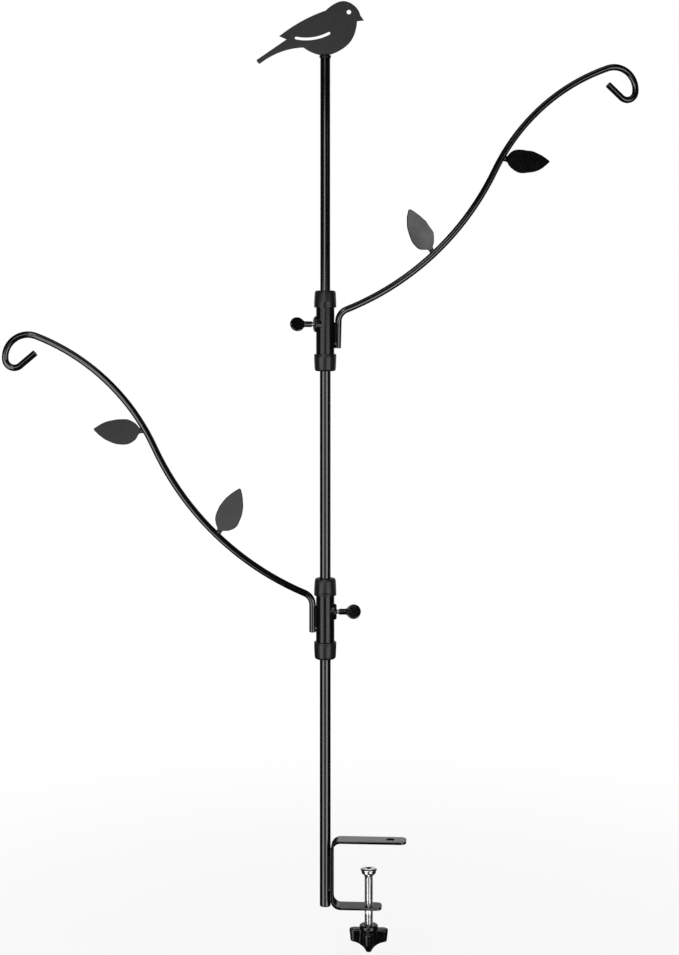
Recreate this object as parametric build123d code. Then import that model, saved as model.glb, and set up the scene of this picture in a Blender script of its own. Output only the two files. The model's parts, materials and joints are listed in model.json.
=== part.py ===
from build123d import *
import math
import os

# Clamp-on hanging pole for bird feeders. A bent flat-bar clamp grips a deck rail and carries a
# three-section pole. Two hook arms trimmed with leaves swing on collars that slide on the pole,
# and a flat bird stands on top.
# Millimetres, +Z up. The origin is on the underside of the upper jaw, on the clamp screw's axis.
# +X runs along the jaws, away from the pole.

# Clearances
SLIDE_GAP = 0.1
PLUG_GAP = 0.1
THREAD_GAP = 0.1
BALL_GAP = 0.1
END_GAP = 0.2
TIP_GAP = 0.15
WELD_GAP = 0.2

# Clamp bracket, bent from flat bar
BAR_THICKNESS = 3.0
BAR_WIDTH = 22.0
BAR_BEND_RADIUS = 9.0
BAR_EDGE_ROUND = 0.6
JAW_OPENING = 76.0
JAW_CORNER_ROUND = 6.5
THROAT = 42.5
UPPER_JAW_REACH = 45.0
LOWER_JAW_REACH = 15.5
JAW_HOLE_D = 10.0
JAW_HOLE_REACH = 26.0

# Clamp screw with a ball end, its swivel pad and its knob
SCREW_D = 10.0
SCREW_LENGTH = 72.5
SCREW_CHAMFER = 0.8
BALL_D = 7.0
NECK_D = 4.6
PAD_MOUTH_D = 6.0
PAD_DROP = 32.0
PAD_D = 19.6
PAD_RIM = 2.0
PAD_CONE_TOP_D = 17.0
PAD_CONE_FOOT_D = 11.0
PAD_CONE_HEIGHT = 6.5
PAD_DIMPLE_D = 6.0
PAD_DIMPLE_DEPTH = 0.8
PAD_ROOF = 1.0
PAD_EDGE_ROUND = 0.6
KNOB_D = 46.6
KNOB_HEIGHT = 32.5
KNOB_HUB_D = 22.0
KNOB_LIP = 2.5
KNOB_LOBES = 4
KNOB_LOBE_WIDTH = 12.0
KNOB_LOBE_TAPER = 6.0
KNOB_LOBE_STEP = 4.5
KNOB_LOBE_HEIGHT = 14.6
KNOB_WAIST = (11.0, 3.4)
KNOB_NOSE_D = 6.0
KNOB_NOSE_ROUND = 1.5
KNOB_EDGE_ROUND = 1.2
INSERT_D = 15.0
INSERT_LENGTH = 11.5
INSERT_GROOVE_D = 13.6
INSERT_GROOVE_WIDTH = 3.0

# Pole, three sections that plug together
POLE_OD = 13.0
POLE_WALL = 1.0
TOP_POLE_OD = 12.0
TOP_POLE_WALL = 1.0
SPIGOT_WALL = 1.0
SPIGOT_LENGTH = 40.0
SWAGE_LENGTH = 3.0
LOWER_SECTION = 363.0
MIDDLE_SECTION = 345.0
TOP_SECTION = 307.5
FOOT_PLUG_CAP = 1.5
FOOT_PLUG_STEM = 12.0
POLE_WELD_LENGTH = 44.0
POLE_WELD_R = 2.2
POLE_WELD_OFFSET = 4.2

# Collars: a sleeve between two caps, with a screw boss
SLEEVE_OD = 22.0
SLEEVE_WALL = 1.5
SLEEVE_LENGTH = 88.4
SLEEVE_BELOW_JOINT = 20.0
CAP_HEIGHT = 20.5
CAP_END = 4.0
CAP_WALL = 2.4
CAP_TAPER = 0.7
CAP_ROUND = 3.0
CAP_LIP_ROUND = 0.6
BOSS_D = 19.0
BOSS_PROUD = 2.8
BOSS_ROUND = 2.4
THUMB_RISE = 8.0
THUMB_THREAD_D = 6.0
THUMB_THREAD_SHOWN = 2.8
THUMB_SHANK_D = 7.0
THUMB_REACH = 34.0
PADDLE_D = 17.6
PADDLE_THICKNESS = 3.6
PADDLE_ROUND = 1.2
PADDLE_FLARE = 4.0
UPPER_PADDLE_TURN = -24.0
LOWER_PADDLE_TURN = 24.0

# Arms, bent from round rod and ending in a hook
ROD_D = 8.0
ROD_END_ROUND = 0.8
STUB_LENGTH = 32.8
ELBOW_RADIUS = 15.0
ELBOW_TURN = 67.0
RISE_RADIUS = 350.0
RISE_TURN = 42.2
CREST_RADIUS = 260.0
CREST_TURN = 43.9
HOOK_RADIUS = 27.3
HOOK_TURN = 117.2
HOOK_END_RADIUS = 10.9
HOOK_END_TURN = 124.4
HOOK_TIP = 24.0
ARM_WELD_R = 2.4
ARM_WELD_LENGTH = 30.0
ARM_WELD_OFFSET = 3.4
UPPER_STUB_DROP = 21.0
LOWER_STUB_DROP = 16.5
UPPER_ARM_LEAN = 1.5
LOWER_ARM_LEAN = 0.0
UPPER_ARM_AZIMUTH = 14.3
LOWER_ARM_AZIMUTH = 183.5

# Leaves, cut from plate and welded to the arms by their stems
LEAF_THICKNESS = 2.0
LEAF_REACH = 63.0
LEAF_WIDEST = 26.0
LEAF_FULL_HALF = 17.3
LEAF_LEAN_HALF = 13.4
LEAF_STEM_END = 8.0
LEAF_STEM_WIDTH = 6.0
LEAF_STEM_ROUND = 4.0
LEAF_TIP_ROUND = 1.8
LEAF_WELD_R = 2.7

# Each leaf's place: its share of the way along the rod's rise or crest, its heading and its twist
UPPER_INNER_LEAF = (0.498, 121.0, -12.0)
UPPER_OUTER_LEAF = (0.084, -0.5, 14.0)
LOWER_INNER_LEAF = (0.492, 116.0, 14.0)
LOWER_OUTER_LEAF = (0.111, 1.8, -12.0)

# Bird on its plug; outline points are measured from the pole's axis and from the belly
BIRD_THICKNESS = 2.0
BIRD_TANG_WIDTH = 7.0
BIRD_TANG_DEPTH = 12.0
BIRD_EYE_D = 5.4
BIRD_EYE = (28.4, 51.6)
BIRD_SLIT_WIDTH = 3.4
BIRD_SLIT = ((-35.0, 21.2), (-22.0, 19.9), (4.4, 26.4))
BIRD_BEAK_TIP = (46.6, 41.4)
BIRD_BROW = (42.2, 47.4)
BIRD_FOREHEAD = (35.5, 58.9)
BIRD_CROWN = (22.2, 64.8)
BIRD_HEAD_BACK = (9.2, 60.6)
BIRD_NAPE = (0.8, 53.9)
BIRD_BACK = (-17.2, 46.8)
BIRD_WING_ROOT = (-46.4, 30.2)
BIRD_WING_TIP = (-55.4, 23.6)
BIRD_NOTCH = (-46.6, 19.6)
BIRD_TAIL_TOP = (-83.4, -5.2)
BIRD_TAIL_FOOT = (-79.6, -9.8)
BIRD_TAIL_UNDER = (-57.0, 3.4)
BIRD_VENT = (-26.4, 9.8)
BIRD_BELLY = ((-13.0, 2.4), (0.0, 0.0), (18.0, 6.0), (30.5, 16.4), (36.6, 30.0))
BIRD_THROAT = (38.2, 40.6)
BIRD_TAIL_ROUND = 1.5
BIRD_WELD_R = 1.6
BIRD_WELD_LENGTH = 9.0
FINIAL_FLANGE_D = 14.0
FINIAL_FLANGE = 3.0
FINIAL_STEM = 20.0

# Sizes and places that follow from the values above
POLE_X = -(THROAT + BAR_THICKNESS + WELD_GAP + POLE_OD / 2)
POLE_BORE = POLE_OD - 2 * POLE_WALL
SPIGOT_OD = POLE_BORE - 2 * PLUG_GAP
FOOT_Z = -JAW_OPENING
LOWER_JOINT_Z = FOOT_Z + LOWER_SECTION
UPPER_JOINT_Z = LOWER_JOINT_Z + MIDDLE_SECTION
POLE_TOP_Z = UPPER_JOINT_Z + TOP_SECTION
LOWER_SLEEVE_Z = LOWER_JOINT_Z - SLEEVE_BELOW_JOINT
UPPER_SLEEVE_Z = UPPER_JOINT_Z - SLEEVE_BELOW_JOINT
BELLY_Z = POLE_TOP_Z + FINIAL_FLANGE
PAD_HEIGHT = PAD_RIM + PAD_CONE_HEIGHT
SCREW_TOP_Z = -PAD_DROP - PAD_HEIGHT - END_GAP
SCREW_FOOT_Z = SCREW_TOP_Z - SCREW_LENGTH
BALL_Z = -PAD_DROP - PAD_DIMPLE_DEPTH - PAD_ROOF - BALL_D / 2
KNOB_TOP_Z = SCREW_FOOT_Z + INSERT_LENGTH + KNOB_LIP
KNOB_FOOT_Z = KNOB_TOP_Z - KNOB_HEIGHT
STUB_RADIUS = SLEEVE_OD / 2 + WELD_GAP + ROD_D / 2
CAP_SOCKET_D = SLEEVE_OD + 2 * SLIDE_GAP
CAP_D = CAP_SOCKET_D + 2 * CAP_WALL
CAP_BORE_D = POLE_OD + 2 * SLIDE_GAP

UP = (Align.CENTER, Align.CENTER, Align.MIN)
DOWN = (Align.CENTER, Align.CENTER, Align.MAX)
ON_POLE = Pos(POLE_X, 0, 0)


def turned(*outline):
    """Solid of revolution about Z from a closed outline of (radius, height) points."""
    return revolve(Plane.XZ * make_face(Polyline(*outline, close=True)), Axis.Z)


def radial(shape):
    """Turn a shape that stands along +Z so that it lies along +X."""
    return Rot(0, 90, 0) * shape


def capsule(radius, length):
    """Weld bead along Z, centred on the origin, with round ends."""
    straight = length - 2 * radius
    bead = Cylinder(radius, straight)
    for end in (-straight / 2, straight / 2):
        bead += Pos(0, 0, end) * Sphere(radius)
    return bead


# Clamp

def is_thickness_edge(edge):
    """Tell the short edges across the bar's thickness from those round its outline."""
    return edge.geom_type == GeomType.LINE and abs(edge.length - BAR_THICKNESS) < BAR_EDGE_ROUND


def clamp_bracket():
    mid = BAR_THICKNESS / 2
    path = Rot(90, 0, 0) * FilletPolyline(
        (UPPER_JAW_REACH, mid),
        (-THROAT - mid, mid),
        (-THROAT - mid, -JAW_OPENING - mid),
        (LOWER_JAW_REACH, -JAW_OPENING - mid),
        radius=BAR_BEND_RADIUS + mid,
    )
    start = Plane(origin=path @ 0, x_dir=(0, 1, 0), z_dir=path % 0)
    bar = sweep(start * Rectangle(BAR_WIDTH, BAR_THICKNESS), path=path)
    thickness_edges = bar.edges().filter_by(Axis.Z).filter_by(is_thickness_edge)
    bar = fillet(thickness_edges.filter_by(lambda edge: edge.center().X > 0), JAW_CORNER_ROUND)
    outline_edges = bar.edges().filter_by(lambda edge: not is_thickness_edge(edge))
    bar = fillet(outline_edges, BAR_EDGE_ROUND)
    bar -= Pos(JAW_HOLE_REACH, 0, 0) * Cylinder(JAW_HOLE_D / 2, BAR_THICKNESS, align=UP)
    bar -= Pos(0, 0, -JAW_OPENING) * Cylinder(SCREW_D / 2 + THREAD_GAP, BAR_THICKNESS, align=DOWN)
    return bar


def clamp_screw():
    radius = SCREW_D / 2
    screw = Pos(0, 0, SCREW_TOP_Z) * Cylinder(radius, SCREW_LENGTH, align=DOWN)
    screw = chamfer(screw.edges().filter_by(GeomType.CIRCLE), SCREW_CHAMFER)
    neck = Pos(0, 0, SCREW_TOP_Z) * Cylinder(NECK_D / 2, BALL_Z - SCREW_TOP_Z, align=UP)
    return screw + neck + Pos(0, 0, BALL_Z) * Sphere(BALL_D / 2)


def swivel_pad():
    face = -PAD_DROP
    shoulder = face - PAD_RIM
    foot = shoulder - PAD_CONE_HEIGHT
    pad = turned(
        (0, face),
        (PAD_D / 2, face),
        (PAD_D / 2, shoulder),
        (PAD_CONE_TOP_D / 2, shoulder),
        (PAD_CONE_FOOT_D / 2, foot),
        (0, foot),
    )
    rim = pad.edges().filter_by(GeomType.CIRCLE).filter_by(lambda edge: edge.radius > PAD_CONE_TOP_D / 2)
    pad = fillet(rim, PAD_EDGE_ROUND)
    pad -= Pos(0, 0, face) * Cylinder(PAD_DIMPLE_D / 2, PAD_DIMPLE_DEPTH, align=DOWN)
    pad -= Pos(0, 0, BALL_Z) * Sphere(BALL_D / 2 + BALL_GAP)
    pad -= Pos(0, 0, BALL_Z) * Cylinder(PAD_MOUTH_D / 2, BALL_Z - foot, align=DOWN)
    return pad


def knob_insert():
    foot = SCREW_FOOT_Z
    top = foot + INSERT_LENGTH
    middle = (top + foot) / 2
    half = INSERT_GROOVE_WIDTH / 2
    bore = SCREW_D / 2 + THREAD_GAP
    return turned(
        (bore, top),
        (INSERT_D / 2, top),
        (INSERT_D / 2, middle + half),
        (INSERT_GROOVE_D / 2, middle + half),
        (INSERT_GROOVE_D / 2, middle - half),
        (INSERT_D / 2, middle - half),
        (INSERT_D / 2, foot),
        (bore, foot),
    )


def knob_lobe():
    """One tapered lobe along +X with a rounded top edge, reaching down to the nose."""
    reach = KNOB_D / 2
    top = KNOB_TOP_Z - KNOB_LOBE_STEP
    plan = Pos(reach / 2, 0, top) * SlotOverall(reach, KNOB_LOBE_WIDTH)
    lobe = extrude(plan, KNOB_FOOT_Z - top, taper=KNOB_LOBE_TAPER)
    return fillet(lobe.faces().sort_by(Axis.Z)[-1].edges(), KNOB_EDGE_ROUND)


def knob_bell():
    """Round body that trims the lobes: an underside that hollows in to a blunt nose."""
    reach = KNOB_D / 2
    lobe_foot = KNOB_TOP_Z - KNOB_LOBE_STEP - KNOB_LOBE_HEIGHT
    rim = (reach, lobe_foot)
    waist = (KNOB_WAIST[0], lobe_foot - KNOB_WAIST[1])
    nose = (KNOB_NOSE_D / 2, KNOB_FOOT_Z)
    sides = Polyline(nose, (0, KNOB_FOOT_Z), (0, KNOB_TOP_Z), (reach, KNOB_TOP_Z), rim)
    bell = revolve(Plane.XZ * make_face([sides, ThreePointArc(rim, waist, nose)]), Axis.Z)
    return fillet(bell.edges().filter_by(GeomType.CIRCLE).sort_by(Axis.Z)[0], KNOB_NOSE_ROUND)


def clamp_knob(insert):
    hub = Pos(0, 0, KNOB_FOOT_Z) * Cylinder(KNOB_HUB_D / 2, KNOB_HEIGHT, align=UP)
    knob = fillet(hub.edges().filter_by(GeomType.CIRCLE).sort_by(Axis.Z)[-1], KNOB_EDGE_ROUND)
    lobe = knob_lobe()
    for turn in range(KNOB_LOBES):
        knob += Rot(0, 0, turn * 360 / KNOB_LOBES) * lobe
    knob = (knob & knob_bell()) - insert
    bore_depth = KNOB_LIP + INSERT_LENGTH
    return knob - Pos(0, 0, KNOB_TOP_Z) * Cylinder(SCREW_D / 2 + THREAD_GAP, bore_depth, align=DOWN)


# Pole

def lower_pole():
    return turned(
        (POLE_BORE / 2, FOOT_Z),
        (POLE_OD / 2, FOOT_Z),
        (POLE_OD / 2, LOWER_JOINT_Z),
        (POLE_BORE / 2, LOWER_JOINT_Z),
    )


def spigot_section(joint_z, top_z, diameter, wall):
    """Tube whose lower end is swaged down to plug into the section below."""
    spigot = SPIGOT_OD / 2
    bore = diameter / 2 - wall
    foot = joint_z - SPIGOT_LENGTH
    return turned(
        (spigot - SPIGOT_WALL, foot),
        (spigot, foot),
        (spigot, joint_z),
        (diameter / 2, joint_z),
        (diameter / 2, top_z),
        (bore, top_z),
        (bore, joint_z + SWAGE_LENGTH),
        (spigot - SPIGOT_WALL, joint_z),
    )


def pole_end_plug():
    plug = Pos(0, 0, FOOT_Z) * Cylinder(POLE_OD / 2, FOOT_PLUG_CAP, align=DOWN)
    plug += Pos(0, 0, FOOT_Z) * Cylinder(POLE_BORE / 2 - PLUG_GAP, FOOT_PLUG_STEM, align=UP)
    return plug


def bracket_welds(bracket):
    """Beads in the two grooves between the pole and the bracket's upright."""
    pole_radius = POLE_OD / 2
    depth = WELD_GAP + pole_radius - math.sqrt(pole_radius ** 2 - POLE_WELD_OFFSET ** 2)
    x = -THROAT - BAR_THICKNESS - depth / 2
    pole = ON_POLE * Cylinder(pole_radius, 4 * JAW_OPENING)
    beads = []
    for side in (-1, 1):
        bead = Pos(x, side * POLE_WELD_OFFSET, -JAW_OPENING / 2) * capsule(POLE_WELD_R, POLE_WELD_LENGTH)
        beads += (bead - pole - bracket).solids()
    return Compound(children=beads)


# Finial

def bird_face():
    head = Spline(BIRD_BROW, BIRD_FOREHEAD, BIRD_CROWN, BIRD_HEAD_BACK, BIRD_NAPE)
    outline = [
        Line(BIRD_BEAK_TIP, BIRD_BROW),
        head,
        Spline(BIRD_NAPE, BIRD_BACK, BIRD_WING_ROOT),
        Line(BIRD_WING_ROOT, BIRD_WING_TIP),
        Line(BIRD_WING_TIP, BIRD_NOTCH),
        Line(BIRD_NOTCH, BIRD_TAIL_TOP),
        Line(BIRD_TAIL_TOP, BIRD_TAIL_FOOT),
        ThreePointArc(BIRD_TAIL_FOOT, BIRD_TAIL_UNDER, BIRD_VENT),
        Spline(BIRD_VENT, *BIRD_BELLY, BIRD_THROAT),
        Line(BIRD_THROAT, BIRD_BEAK_TIP),
    ]
    face = make_face(outline)
    tail = face.vertices().sort_by(Axis.X)[:2]
    return fillet(tail, BIRD_TAIL_ROUND)


def bird_finial():
    tang_top = max(point[1] for point in BIRD_BELLY[:3])
    tang_height = BIRD_TANG_DEPTH + tang_top
    bird = bird_face()
    bird += Pos(0, tang_top - tang_height / 2) * Rectangle(BIRD_TANG_WIDTH, tang_height)
    bird -= Pos(*BIRD_EYE) * Circle(BIRD_EYE_D / 2)
    bird -= SlotArc(ThreePointArc(*BIRD_SLIT), BIRD_SLIT_WIDTH)
    plate = extrude(Plane.XZ * bird, BIRD_THICKNESS / 2, both=True)
    return Pos(POLE_X, 0, BELLY_Z) * plate


def finial_plug():
    stem = TOP_POLE_OD / 2 - TOP_POLE_WALL - PLUG_GAP
    plug = Cylinder(FINIAL_FLANGE_D / 2, FINIAL_FLANGE, align=DOWN)
    plug += Pos(0, 0, -FINIAL_FLANGE) * Cylinder(stem, FINIAL_STEM, align=DOWN)
    plug -= Box(
        BIRD_TANG_WIDTH + 2 * PLUG_GAP,
        BIRD_THICKNESS + 2 * PLUG_GAP,
        BIRD_TANG_DEPTH + END_GAP,
        align=DOWN,
    )
    return Pos(POLE_X, 0, BELLY_Z) * plug


def finial_welds(bird, plug):
    beads = []
    for side in (-1, 1):
        bead = Rot(0, 90, 0) * capsule(BIRD_WELD_R, BIRD_WELD_LENGTH)
        bead = Pos(POLE_X, side * (BIRD_THICKNESS / 2 + BIRD_WELD_R / 2), BELLY_Z) * bead
        beads += (bead - bird - plug).solids()
    return Compound(children=beads)


# Collars and arms, built about the pole's axis with the sleeve's middle at height zero and the arm
# along +X

def arm_path(lean, stub_drop):
    """Rod's centreline, as the stub followed by tangent arcs out to the hook's tip."""
    heading = math.radians(90 - lean)
    foot = Vector(STUB_RADIUS, -stub_drop)
    stub = Line(foot, foot + Vector(math.cos(heading), math.sin(heading)) * STUB_LENGTH)
    elbow = JernArc(stub @ 1, stub % 1, ELBOW_RADIUS, -ELBOW_TURN)
    rise = JernArc(elbow @ 1, elbow % 1, RISE_RADIUS, RISE_TURN)
    crest = JernArc(rise @ 1, rise % 1, CREST_RADIUS, -CREST_TURN)
    hook = JernArc(crest @ 1, crest % 1, HOOK_RADIUS, -HOOK_TURN)
    hook_end = JernArc(hook @ 1, hook % 1, HOOK_END_RADIUS, -HOOK_END_TURN)
    tip = Line(hook_end @ 1, hook_end @ 1 + (hook_end % 1) * HOOK_TIP)
    upright = Rot(90, 0, 0)
    return [upright * edge for edge in (stub, elbow, rise, crest, hook, hook_end, tip)]


def arm_rod(path):
    line = Wire(path)
    start = Plane(origin=line @ 0, z_dir=line % 0)
    rod = sweep(start * Circle(ROD_D / 2), path=line)
    ends = [rod.faces().sort_by_distance(point)[0].edges() for point in (line @ 0, line @ 1)]
    return fillet(ends[0] + ends[1], ROD_END_ROUND)


def leaf(root, heading, twist, fuller_side):
    """Pointed plate on a stem that starts at the rod's centre and points along the heading."""
    stem = LEAF_STEM_WIDTH / 2
    tip = (LEAF_REACH, 0)
    outline = [Line((0, -stem), (0, stem))]
    for side in (-1, 1):
        half = LEAF_FULL_HALF if side == fuller_side else LEAF_LEAN_HALF
        widest = (LEAF_WIDEST, side * half)
        shoulder = (LEAF_STEM_END, side * stem)
        outline.append(Line((0, side * stem), shoulder))
        outline.append(TangentArc(widest, shoulder, tangent=(-1, 0)))
        outline.append(TangentArc(widest, tip, tangent=(1, 0)))
    face = make_face(outline)
    shoulders = [point for point in face.vertices() if abs(point.X - LEAF_STEM_END) < LEAF_STEM_ROUND]
    face = fillet(shoulders, LEAF_STEM_ROUND)
    face = fillet(face.vertices().sort_by(Axis.X)[-1], LEAF_TIP_ROUND)
    blade = extrude(face, LEAF_THICKNESS / 2, both=True)
    return leaf_place(root, heading, twist) * blade


def leaf_place(root, heading, twist):
    angle = math.radians(heading)
    turn = math.radians(twist)
    along = Vector(math.cos(angle), 0, math.sin(angle))
    across = Vector(-math.sin(angle), 0, math.cos(angle))
    normal = Vector(0, -1, 0) * math.cos(turn) + across * math.sin(turn)
    return Plane(origin=root, x_dir=along, z_dir=normal).location


def leaf_weld(root, heading, twist):
    return leaf_place(root, heading, twist) * Pos(ROD_D / 2, 0, 0) * Sphere(LEAF_WELD_R)


def arm_welds(rod, lean, stub_drop):
    """Seams along the two grooves between the stub and the sleeve."""
    sleeve_radius = SLEEVE_OD / 2
    sleeve = Cylinder(sleeve_radius, 2 * SLEEVE_LENGTH)
    along = STUB_LENGTH / 2
    drift = along * math.sin(math.radians(lean)) / 2
    beads = []
    for side in (-1, 1):
        place = Pos(sleeve_radius + WELD_GAP / 2 + drift, side * ARM_WELD_OFFSET, along - stub_drop)
        seam = place * Rot(0, lean / 2, 0) * capsule(ARM_WELD_R, ARM_WELD_LENGTH)
        beads += (seam - sleeve - rod).solids()
    return Compound(children=beads)


def sleeve():
    tube = Cylinder(SLEEVE_OD / 2, SLEEVE_LENGTH) - Cylinder(SLEEVE_OD / 2 - SLEEVE_WALL, SLEEVE_LENGTH)
    hole = radial(Cylinder(THUMB_THREAD_D / 2 + THREAD_GAP, SLEEVE_OD, align=DOWN))
    return tube - Pos(0, 0, THUMB_RISE) * hole


def end_cap():
    """Cup that closes the sleeve's upper end and slides on the pole."""
    lip = SLEEVE_LENGTH / 2 + END_GAP + CAP_END - CAP_HEIGHT
    seat = SLEEVE_LENGTH / 2 + END_GAP
    top = seat + CAP_END
    cap = turned(
        (CAP_BORE_D / 2, seat),
        (CAP_SOCKET_D / 2, seat),
        (CAP_SOCKET_D / 2, lip),
        (CAP_D / 2, lip),
        (CAP_D / 2 - CAP_TAPER, top),
        (CAP_BORE_D / 2, top),
    )
    mid_wall = (CAP_SOCKET_D + CAP_WALL) / 2
    for end, rounding in ((-1, CAP_ROUND), (0, CAP_LIP_ROUND)):
        rims = cap.edges().filter_by(GeomType.CIRCLE).filter_by(lambda edge: edge.radius > mid_wall)
        cap = fillet(rims.sort_by(Axis.Z)[end], rounding)
    return cap


def screw_boss():
    """Round threaded boss on the sleeve, opposite the arm."""
    face = SLEEVE_OD / 2 + BOSS_PROUD
    boss = radial(Cylinder(BOSS_D / 2, face, align=DOWN))
    boss = fillet(boss.edges().filter_by(GeomType.CIRCLE).sort_by(Axis.X)[0], BOSS_ROUND)
    boss -= radial(Cylinder(THUMB_THREAD_D / 2 + THREAD_GAP, face, align=DOWN))
    return Pos(0, 0, THUMB_RISE) * (boss - Cylinder(SLEEVE_OD / 2, 2 * BOSS_D))


def thumb_screw(turn):
    """Spade thumb screw along -X, with its tip just off the pole and its paddle turned from upright."""
    tip = POLE_OD / 2 + TIP_GAP
    shank = SLEEVE_OD / 2 + BOSS_PROUD + THUMB_THREAD_SHOWN
    neck = THUMB_REACH - PADDLE_D / 2
    screw = Pos(0, 0, tip) * Cylinder(THUMB_THREAD_D / 2, shank - tip, align=UP)
    screw += Pos(0, 0, shank) * Cylinder(THUMB_SHANK_D / 2, neck - shank, align=UP)
    outline = Pos(THUMB_REACH, 0) * Circle(PADDLE_D / 2)
    outline += Pos((shank + THUMB_REACH) / 2, 0) * Rectangle(THUMB_REACH - shank, THUMB_SHANK_D)
    corners = [point for point in outline.vertices() if point.X > shank + PADDLE_FLARE]
    outline = fillet(corners, PADDLE_FLARE)
    paddle = extrude(Rot(90, 0, 0) * outline, PADDLE_THICKNESS / 2, both=True)
    rims = paddle.faces().filter_by(Axis.Y).edges().filter_by(lambda edge: edge.center().X > neck)
    paddle = fillet(rims, PADDLE_ROUND)
    screw = Rot(0, -90, 0) * screw + Rot(0, 0, 180) * paddle
    return Pos(0, 0, THUMB_RISE) * Rot(turn, 0, 0) * screw


def arm_assembly(name, height, azimuth, lean, stub_drop, leaves, paddle_turn):
    path = arm_path(lean, stub_drop)
    rise, crest = path[2], path[3]
    rod = arm_rod(path)
    inner, outer = (
        (stretch @ along, heading - lean, twist)
        for stretch, (along, heading, twist) in zip((rise, crest), leaves)
    )
    inner_leaf = leaf(*inner, 1) - rod
    outer_leaf = leaf(*outer, -1) - rod
    leaf_beads = []
    for blade, place in ((inner_leaf, inner), (outer_leaf, outer)):
        leaf_beads += (leaf_weld(*place) - blade - rod).solids()
    cap = end_cap()
    pieces = {
        "sleeve": sleeve(),
        "top_cap": cap,
        "bottom_cap": Rot(180, 0, 0) * cap,
        "screw_boss": screw_boss(),
        "thumb_screw": thumb_screw(paddle_turn),
        "arm_rod": rod,
        "arm_welds": arm_welds(rod, lean, stub_drop),
        "inner_leaf": inner_leaf,
        "outer_leaf": outer_leaf,
        "leaf_welds": Compound(children=leaf_beads),
    }
    place = Pos(POLE_X, 0, height) * Rot(0, 0, azimuth)
    return {f"{name}_{piece}": place * shape for piece, shape in pieces.items()}


def build():
    bracket = clamp_bracket()
    insert = knob_insert()
    bird = bird_finial()
    plug = finial_plug()
    parts = {
        "clamp_bracket": bracket,
        "clamp_screw": clamp_screw(),
        "swivel_pad": swivel_pad(),
        "clamp_knob": clamp_knob(insert),
        "knob_insert": insert,
        "lower_pole": ON_POLE * lower_pole(),
        "middle_pole": ON_POLE * spigot_section(LOWER_JOINT_Z, UPPER_JOINT_Z, POLE_OD, POLE_WALL),
        "top_pole": ON_POLE * spigot_section(UPPER_JOINT_Z, POLE_TOP_Z, TOP_POLE_OD, TOP_POLE_WALL),
        "pole_end_plug": ON_POLE * pole_end_plug(),
        "bracket_welds": bracket_welds(bracket),
        "bird_finial": bird,
        "finial_plug": plug,
        "finial_welds": finial_welds(bird, plug),
    }
    parts.update(
        arm_assembly(
            "upper",
            UPPER_SLEEVE_Z,
            UPPER_ARM_AZIMUTH,
            UPPER_ARM_LEAN,
            UPPER_STUB_DROP,
            (UPPER_INNER_LEAF, UPPER_OUTER_LEAF),
            UPPER_PADDLE_TURN,
        )
    )
    parts.update(
        arm_assembly(
            "lower",
            LOWER_SLEEVE_Z,
            LOWER_ARM_AZIMUTH,
            LOWER_ARM_LEAN,
            LOWER_STUB_DROP,
            (LOWER_INNER_LEAF, LOWER_OUTER_LEAF),
            LOWER_PADDLE_TURN,
        )
    )
    return parts


def main():
    os.makedirs("parts", exist_ok=True)
    for name, shape in build().items():
        export_step(shape, f"parts/{name}.step")


if __name__ == "__main__":
    main()
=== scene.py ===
import json
import math

import bmesh
import bpy
from mathutils import Matrix, Vector, noise
from mathutils.bvhtree import BVHTree


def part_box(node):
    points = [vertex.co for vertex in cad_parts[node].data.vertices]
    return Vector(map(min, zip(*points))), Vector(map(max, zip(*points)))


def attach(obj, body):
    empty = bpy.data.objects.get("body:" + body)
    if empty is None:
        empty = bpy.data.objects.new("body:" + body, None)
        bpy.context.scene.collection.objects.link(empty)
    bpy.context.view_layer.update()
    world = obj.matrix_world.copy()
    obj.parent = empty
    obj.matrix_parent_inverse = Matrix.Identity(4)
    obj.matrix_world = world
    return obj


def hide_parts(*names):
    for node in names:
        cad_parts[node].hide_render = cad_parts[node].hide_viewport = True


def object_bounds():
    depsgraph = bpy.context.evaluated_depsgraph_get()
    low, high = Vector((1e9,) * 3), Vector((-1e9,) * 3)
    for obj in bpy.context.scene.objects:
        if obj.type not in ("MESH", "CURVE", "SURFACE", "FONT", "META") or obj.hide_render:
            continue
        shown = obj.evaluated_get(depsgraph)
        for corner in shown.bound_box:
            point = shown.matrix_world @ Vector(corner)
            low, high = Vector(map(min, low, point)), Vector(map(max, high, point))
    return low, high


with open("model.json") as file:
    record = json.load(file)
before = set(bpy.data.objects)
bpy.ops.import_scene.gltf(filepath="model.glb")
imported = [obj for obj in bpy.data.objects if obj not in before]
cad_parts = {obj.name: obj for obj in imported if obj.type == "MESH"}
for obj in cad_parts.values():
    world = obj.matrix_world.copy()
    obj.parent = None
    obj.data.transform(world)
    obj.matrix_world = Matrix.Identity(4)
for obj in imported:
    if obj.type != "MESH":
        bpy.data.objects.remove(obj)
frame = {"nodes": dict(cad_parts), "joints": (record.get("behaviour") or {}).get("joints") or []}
CAD_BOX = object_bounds()

bl_info = {
    "name": "Clamp-on feeder pole",
    "version": (1, 0, 0),
    "blender": (4, 5, 0),
    "location": "3D View > Sidebar > Feeder Pole",
    "description": "Dresses the hanging pole with plates, weld beads, threads, caps and coats",
    "category": "Object",
}

MM = 0.001
WHITE = (1.0, 1.0, 1.0, 1.0)
SIDES = ("upper", "lower")
JOINTS = {joint["name"]: joint for joint in frame["joints"]}
POLE_X = JOINTS["upper_arm_swing"]["pos_m"][0]

# Floor: just below the knob when the clamp is wound right out
FLOOR_ROOM = 1.0 * MM
FLOOR_Z = CAD_BOX[0].z + JOINTS["clamp_travel"]["range_m"][0] - FLOOR_ROOM
FLOOR_RADIUS = 7.0

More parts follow.
